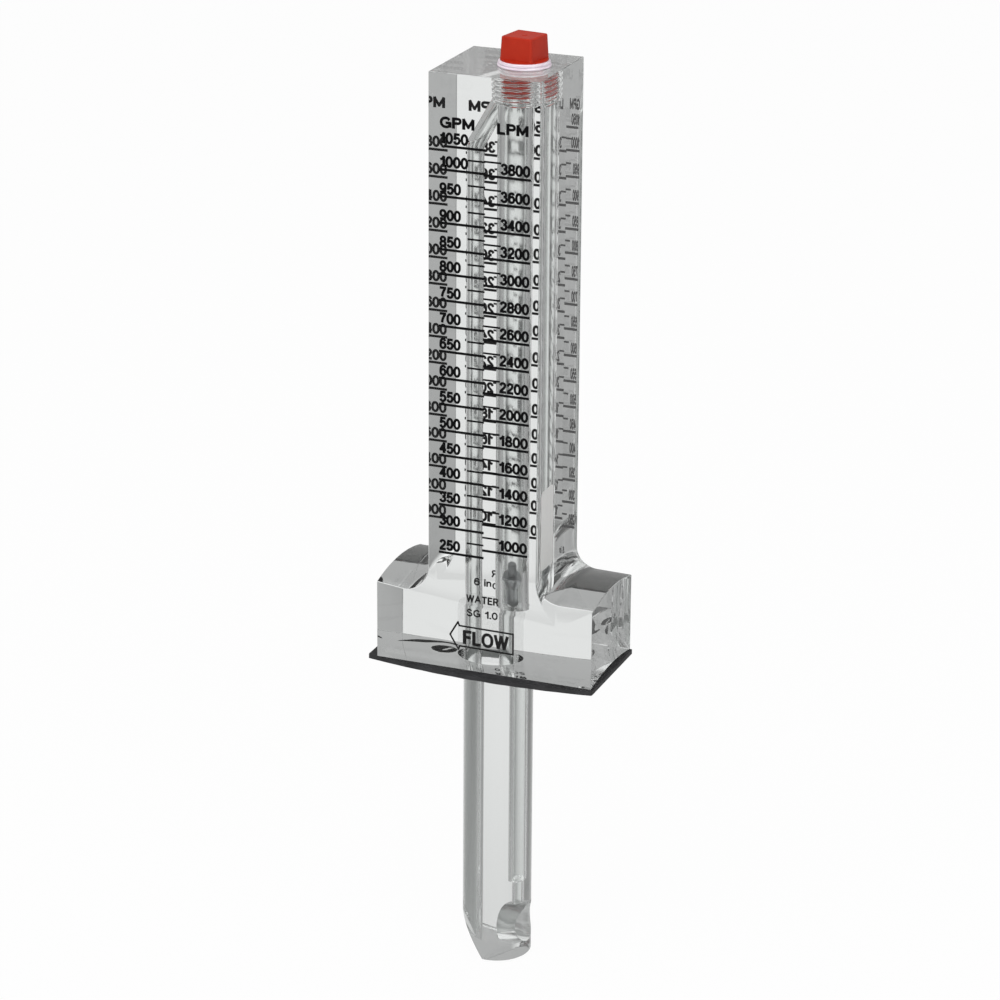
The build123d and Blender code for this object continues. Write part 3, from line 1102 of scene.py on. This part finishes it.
# Plug and thread tape
def square_head():
    """The plug's square head: a block that narrows upwards, with rounded edges and a sunk top."""
    foot_side, top_side = 9.7, 9.1
    bpy.ops.mesh.primitive_cube_add(
        size=1, location=(0, 0, 174.25 * MM), scale=(foot_side * MM, foot_side * MM, 6.5 * MM)
    )
    head = bpy.context.object
    apply_place()
    bpy.ops.object.mode_set(mode="EDIT")
    select_parts(head, "FACE", lambda f: f.normal.z > 0.9)
    bpy.ops.transform.resize(value=(top_side / foot_side, top_side / foot_side, 1))
    select_parts(head, "EDGE", lambda e: runs_along(e, 2))
    bpy.ops.mesh.bevel(offset=0.6 * MM, segments=6, affect="EDGES")
    select_parts(head, "FACE", lambda f: f.normal.z > 0.9)
    bpy.ops.mesh.bevel(offset=0.4 * MM, segments=4, affect="EDGES")
    # A shallow sink on the top, where the plastic shrank
    select_parts(head, "FACE", lambda f: f.normal.z > 0.99)
    bpy.ops.mesh.extrude_region_move(TRANSFORM_OT_translate={"value": (0, 0, 0)})
    bpy.ops.transform.resize(value=(0.86, 0.86, 1))
    bpy.ops.mesh.extrude_region_move(TRANSFORM_OT_translate={"value": (0, 0, -0.08 * MM)})
    bpy.ops.transform.resize(value=(0.7, 0.7, 1))
    bpy.ops.object.mode_set(mode="OBJECT")
    # The wrench left it turned 8.6 degrees from the block's faces
    turned_head = Matrix.Rotation(math.radians(-8.6), 4, "Z")
    head.matrix_world = Matrix.Translation((METER_X * MM, 0, 0)) @ turned_head
    bpy.context.view_layer.objects.active = head
    head.select_set(True)
    apply_place()
    head.select_set(False)
    return finish_shape(head, "head", RED)


def red_plug():
    """The threaded plug with its head, and the mould's gate mark on top."""
    plug = threaded_tube(TOP_Z - 7.2, TOP_Z + 2.0, crest_gap=0.34, depth=0.8)
    close_ends(plug)
    plug = finish_shape(plug, "red_plug", RED, 40)
    cut_or_join(plug, square_head(), "UNION")
    gate = turned(
        "gate", METER_X, [(0, 177.3), (0.7, 177.3), (0.7, 177.48), (0.55, 177.5), (0, 177.5)], RED, steps=32
    )
    cut_or_join(plug, gate, "UNION")
    finish_shape(plug, "red_plug", RED, 40)
    # Painted light: the thread below the block's top gets the brighter red, for the light that reaches it
    # through the acrylic
    plug.data.materials.append(THREAD_RED_PAINTED_LIGHT)
    for face in plug.data.polygons:
        if face.center.z < TOP_Z * MM:
            face.material_index = len(plug.data.materials) - 1
    return plug


def wound_tape():
    """The ring of tape bunched up above the block: two uneven wraps."""
    outline = [
        (6.5, 0.1), (6.8, 0), (7.14, 0.04), (7.25, 0.22), (7.22, 0.4), (7.06, 0.56), (6.9, 0.66),
        (6.88, 0.86), (7.02, 1.0), (7.0, 1.2), (6.86, 1.42), (6.6, 1.62), (6.3, 1.7), (6.3, 1.2), (6.5, 0.1),
    ]
    wraps = turned("wound_tape", METER_X, [(r, TOP_Z + 0.06 + z) for r, z in outline], TAPE, steps=144)
    for v in wraps.data.vertices:
        away = Vector((v.co.x - METER_X * MM, v.co.y, 0))
        if away.length < 6.65 * MM:
            continue
        lump = noise.noise(v.co * 420) * 0.16 + noise.noise(v.co * 1500) * 0.05
        v.co += away.normalized() * min(lump, 0.03) * MM
        v.co.z += noise.noise(v.co * 500 + Vector((3, 1, 7))) * 0.10 * MM
    return wraps


def tape_on_thread():
    """The tape's film over the plug's thread, a twentieth of a millimetre through."""
    film = threaded_tube(TOP_Z - 7.0, TOP_Z + 0.3, crest_gap=0.24, depth=0.55)
    apply_modifier(film, "SOLIDIFY", thickness=0.05 * MM, offset=0)
    return finish_shape(film, "tape_film", FILM, 50)


plug_red = red_plug()
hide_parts("plug")
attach(plug_red, "plug")
tape_ring = wound_tape()
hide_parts("thread_tape")
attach(tape_ring, "tape")
tape_film = tape_on_thread()
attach(tape_film, "tape")


# Gasket
def share_along(point, start, end):
    """How far inside a tapered line a point is. Each end of the line has a place and a half width."""
    line = Vector(end[:2]) - Vector(start[:2])
    share = max(0.0, min(1.0, (Vector(point) - Vector(start[:2])).dot(line) / line.length_squared))
    nearest = Vector(start[:2]) + line * share
    return start[2] + (end[2] - start[2]) * share - (Vector(point) - nearest).length


def clinging(x, y):
    """How far inside a clinging patch of the rubber a point is: a curved streak, or a creased spot."""
    streak = [
        (-28.2, 0.0, 0.1), (-27.0, 1.2, 0.6), (-24.9, 2.9, 1.3), (-21.8, 5.8, 2.4), (-19.4, 7.8, 2.1),
        (-16.9, 9.4, 1.8), (-15.0, 9.6, 1.5), (-13.1, 8.9, 1.3), (-12.1, 7.4, 0.8),
    ]
    spot = (1 - math.hypot((x + 13.7) / 4.0, (y + 0.4) / 4.4)) * 4.2
    crease = share_along((x, y), (-13.5, -1.8, 0.3), (-12.1, 2.0, 0.3))
    return max([min(spot, -crease)] + [share_along((x, y), a, b) for a, b in zip(streak, streak[1:])])


def sheet_gasket():
    """Rubber sheet cut by hand: bowed front and back, slightly uneven edges, and the spigot's hole."""
    left, right = -33.0, 34.0
    front_left, front_right, front_bow = -15.4, -17.0, -3.0
    back_edge, back_bow = 16.0, 0.2
    pull = 2.5
    pale_grey_reach = 30.5
    bpy.ops.mesh.primitive_grid_add(x_subdivisions=134, y_subdivisions=66, size=2)
    sheet = bpy.context.object
    bpy.ops.object.mode_set(mode="EDIT")
    mesh = bmesh.from_edit_mesh(sheet.data)
    for v in mesh.verts:
        share = (v.co.x + 1) / 2
        across = (v.co.y + 1) / 2
        x = left + (right - left) * share
        bowed = 1 - (2 * share - 1) ** 2
        front = front_left * (1 - share) + front_right * share + front_bow * bowed
        back = back_edge + back_bow * bowed
        # The shears wandered by up to 0.18 mm along the edges
        edge = abs(2 * across - 1) ** 6
        waver = noise.noise(Vector((x * 0.22, across * 9, 0))) * 0.18 * edge
        v.co = Vector((x, front + (back - front) * across + waver, 0)) * MM
    bmesh.update_edit_mesh(sheet.data)
    bpy.ops.mesh.select_all(action="SELECT")
    bpy.ops.mesh.extrude_region_move(TRANSFORM_OT_translate={"value": (0, 0, SADDLE_Z * MM)})
    bpy.ops.mesh.select_all(action="SELECT")
    bpy.ops.mesh.normals_make_consistent(inside=False)
    # Where the sheet clings to the arch, it shows black through the block, and it is pulled up round that
    mesh = bmesh.from_edit_mesh(sheet.data)
    for v in mesh.verts:
        inside = clinging(v.co.x / MM, v.co.y / MM)
        if v.co.z > SADDLE_Z / 2 * MM and inside > -pull:
            arch = arch_height(v.co.y / MM, PIPE_RADIUS) if abs(v.co.y) < HALF_WIDTH * MM else 0
            lift = max(0.0, 1 + inside / pull) ** 2 if inside < 0 else 1
            v.co.z = (SADDLE_Z + arch * lift + 0.04 * min(1.0, max(-0.5, inside * 2))) * MM
    bmesh.update_edit_mesh(sheet.data)
    # Rounded corners
    select_parts(
        sheet, "EDGE",
        lambda e: runs_along(e, 2) and (at(e.verts[0].co.x, left) or at(e.verts[0].co.x, right))
        and len({f.normal.to_tuple(0) for f in e.link_faces}) > 1,
    )
    bpy.ops.mesh.bevel(offset=1.3 * MM, segments=5, affect="EDGES")
    bpy.ops.object.mode_set(mode="OBJECT")
    hole = turned("hole", 0, [(0, -2), (HOLE_RADIUS, -2), (HOLE_RADIUS, 4), (0, 4)], RUBBER)
    cut_or_join(sheet, hole, "DIFFERENCE")
    ease_edges(sheet, width=0.1, segments=2, sharper_than=50)
    finish_shape(sheet, "sheet_gasket", RUBBER)
    sheet.data.materials.append(PRESSED_RUBBER)
    sheet.data.materials.append(PALE_RUBBER_UNDER_BLOCK)
    # The rubber is pressed where it clings, and pale grey elsewhere under the block, 1 mm inside its edges
    for face in sheet.data.polygons:
        x, y = face.center.x / MM, face.center.y / MM
        if face.normal.z > 0.3 and clinging(x, y) > 0:
            face.material_index = 1
        elif face.normal.z > 0.3 and abs(x - BASE_X) < pale_grey_reach and abs(y) < HALF_WIDTH - 1:
            face.material_index = 2
    return sheet


gasket = sheet_gasket()
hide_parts("gasket")
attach(gasket, "meter")


# Blank label on the upstream side
def blank_label():
    """A label 9 mm wide and 23 mm high with round corners, with nothing on it."""
    bpy.ops.mesh.primitive_cube_add(
        size=1, location=((COLUMN_X + HALF_WIDTH + 0.02) * MM, -8.2 * MM, 43.5 * MM),
        scale=(0.1 * MM, 9.0 * MM, 23.0 * MM),
    )
    label = bpy.context.object
    apply_place()
    bpy.ops.object.mode_set(mode="EDIT")
    select_parts(label, "EDGE", lambda e: runs_along(e, 0))
    bpy.ops.mesh.bevel(offset=1.6 * MM, segments=6, affect="EDGES")
    bpy.ops.object.mode_set(mode="OBJECT")
    return finish_shape(label, "blank_label", VINYL)


label = blank_label()
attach(label, "meter")

# The joint's cement
for cement in (cement_ring(), cement_bead()):
    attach(cement, "meter")


# Stage
def white_floor():
    """A pale floor under the probe: white with a soft shadow to the eye, and clear to rays from glass."""
    glow_share = 0.965
    bpy.ops.mesh.primitive_plane_add(size=6, location=(0, 0, -91.0 * MM))
    floor = bpy.context.object
    floor.name = "floor"
    material = new_material("floor_paper")
    path = add_node(material, "ShaderNodeLightPath")
    paper = add_node(material, "ShaderNodeBsdfDiffuse", {"Color": linear("#E4E4E4")})
    glow = add_node(material, "ShaderNodeEmission", {"Color": (1.0, 1.0, 1.0, 1.0), "Strength": 1.0})
    share = add_node(
        material, "ShaderNodeMath", {0: (path, "Is Camera Ray"), 1: glow_share}, operation="MULTIPLY"
    )
    seen = add_node(
        material, "ShaderNodeMixShader", {0: (share, "Value"), 1: (paper, "BSDF"), 2: (glow, "Emission")}
    )
    beyond = add_node(material, "ShaderNodeBsdfTransparent", {"Color": (1.0, 1.0, 1.0, 1.0)})
    glass_ray = add_node(
        material, "ShaderNodeMath", {0: (path, "Is Transmission Ray"), 1: (path, "Is Glossy Ray")},
        operation="MAXIMUM",
    )
    shader = add_node(
        material, "ShaderNodeMixShader", {0: (glass_ray, "Value"), 1: (seen, "Shader"), 2: (beyond, "BSDF")}
    )
    add_node(material, "ShaderNodeOutputMaterial", {"Surface": (shader, "Shader")})
    floor.data.materials.append(material)
    floor.select_set(False)
    return floor


white_floor()


def studio_world():
    """White behind the object for the camera, and a grey room with a pale backdrop for the glass."""
    world = bpy.data.worlds.new("studio")
    bpy.context.scene.world = world
    world.use_nodes = True
    world.node_tree.nodes.clear()
    where = add_node(world, "ShaderNodeTexCoord")
    # The backdrop stands across the camera's line: its middle is this direction
    toward = (-0.3665, 0.9304, 0)
    along = add_node(
        world, "ShaderNodeVectorMath", {0: (where, "Generated"), 1: toward}, operation="DOT_PRODUCT"
    )
    backdrop = add_node(
        world, "ShaderNodeValToRGB", {"Fac": (along, "Value")},
        stops=(
            (0.0, "#A6A6A6"), (0.5, "#868686"), (0.62, "#888888"), (0.70, "#B2B2B2"), (0.86, "#E6E6E6"),
            (1.0, "#EEEEEE"),
        ),
    )
    # By height: white paper underfoot, then grey walls, and a paler patch of ceiling
    parts = add_node(world, "ShaderNodeSeparateXYZ", {"Vector": (where, "Generated")})
    height = add_node(world, "ShaderNodeMapRange", {"Value": (parts, "Z"), "From Min": -1.0, "From Max": 1.0})
    walls = add_node(
        world, "ShaderNodeValToRGB", {"Fac": (height, "Result")},
        stops=((0.2, "#FFFFFF"), (0.28, "#B4B4B4"), (0.75, "#B0B0B0"), (0.92, "#ACACAC"), (0.97, "#DCDCDC")),
    )
    # The backdrop shows only in a band below eye level
    share = add_node(
        world, "ShaderNodeValToRGB", {"Fac": (height, "Result")},
        stops=((0.2, "#FFFFFF"), (0.3, "#000000"), (0.385, "#000000"), (0.43, "#FFFFFF")),
    )
    room = add_node(
        world, "ShaderNodeMix", {"Factor": (share, "Color"), "A": (backdrop, "Color"), "B": (walls, "Color")},
        data_type="RGBA",
    )
    path = add_node(world, "ShaderNodeLightPath")
    tone = add_node(
        world, "ShaderNodeMix",
        {"Factor": (path, "Is Camera Ray"), "A": (room, "Result"), "B": (1.0, 1.0, 1.0, 1.0)},
        data_type="RGBA",
    )
    back = add_node(world, "ShaderNodeBackground", {"Color": (tone, "Result"), "Strength": 1.0})
    add_node(world, "ShaderNodeOutputWorld", {"Surface": (back, "Background")})


studio_world()


def soft_light(name, place, target, side, power):
    """A square lamp that lights the object and is seen neither by the eye nor in or through the glass."""
    bpy.ops.object.light_add(type="AREA", location=place)
    lamp = bpy.context.object
    lamp.name = name
    lamp.data.shape = "RECTANGLE"
    lamp.data.size = lamp.data.size_y = side
    lamp.data.energy = power
    lamp.rotation_euler = (Vector(target) - Vector(place)).to_track_quat("-Z", "Y").to_euler()
    lamp.visible_camera = False
    lamp.visible_glossy = False
    lamp.visible_transmission = False
    lamp.select_set(False)


soft_light("key", (0.75, -0.75, 0.75), (0, 0, 0.08), side=0.9, power=5)
soft_light("top", (-0.1, -0.6, 1.0), (0, 0, 0.1), side=0.8, power=6)
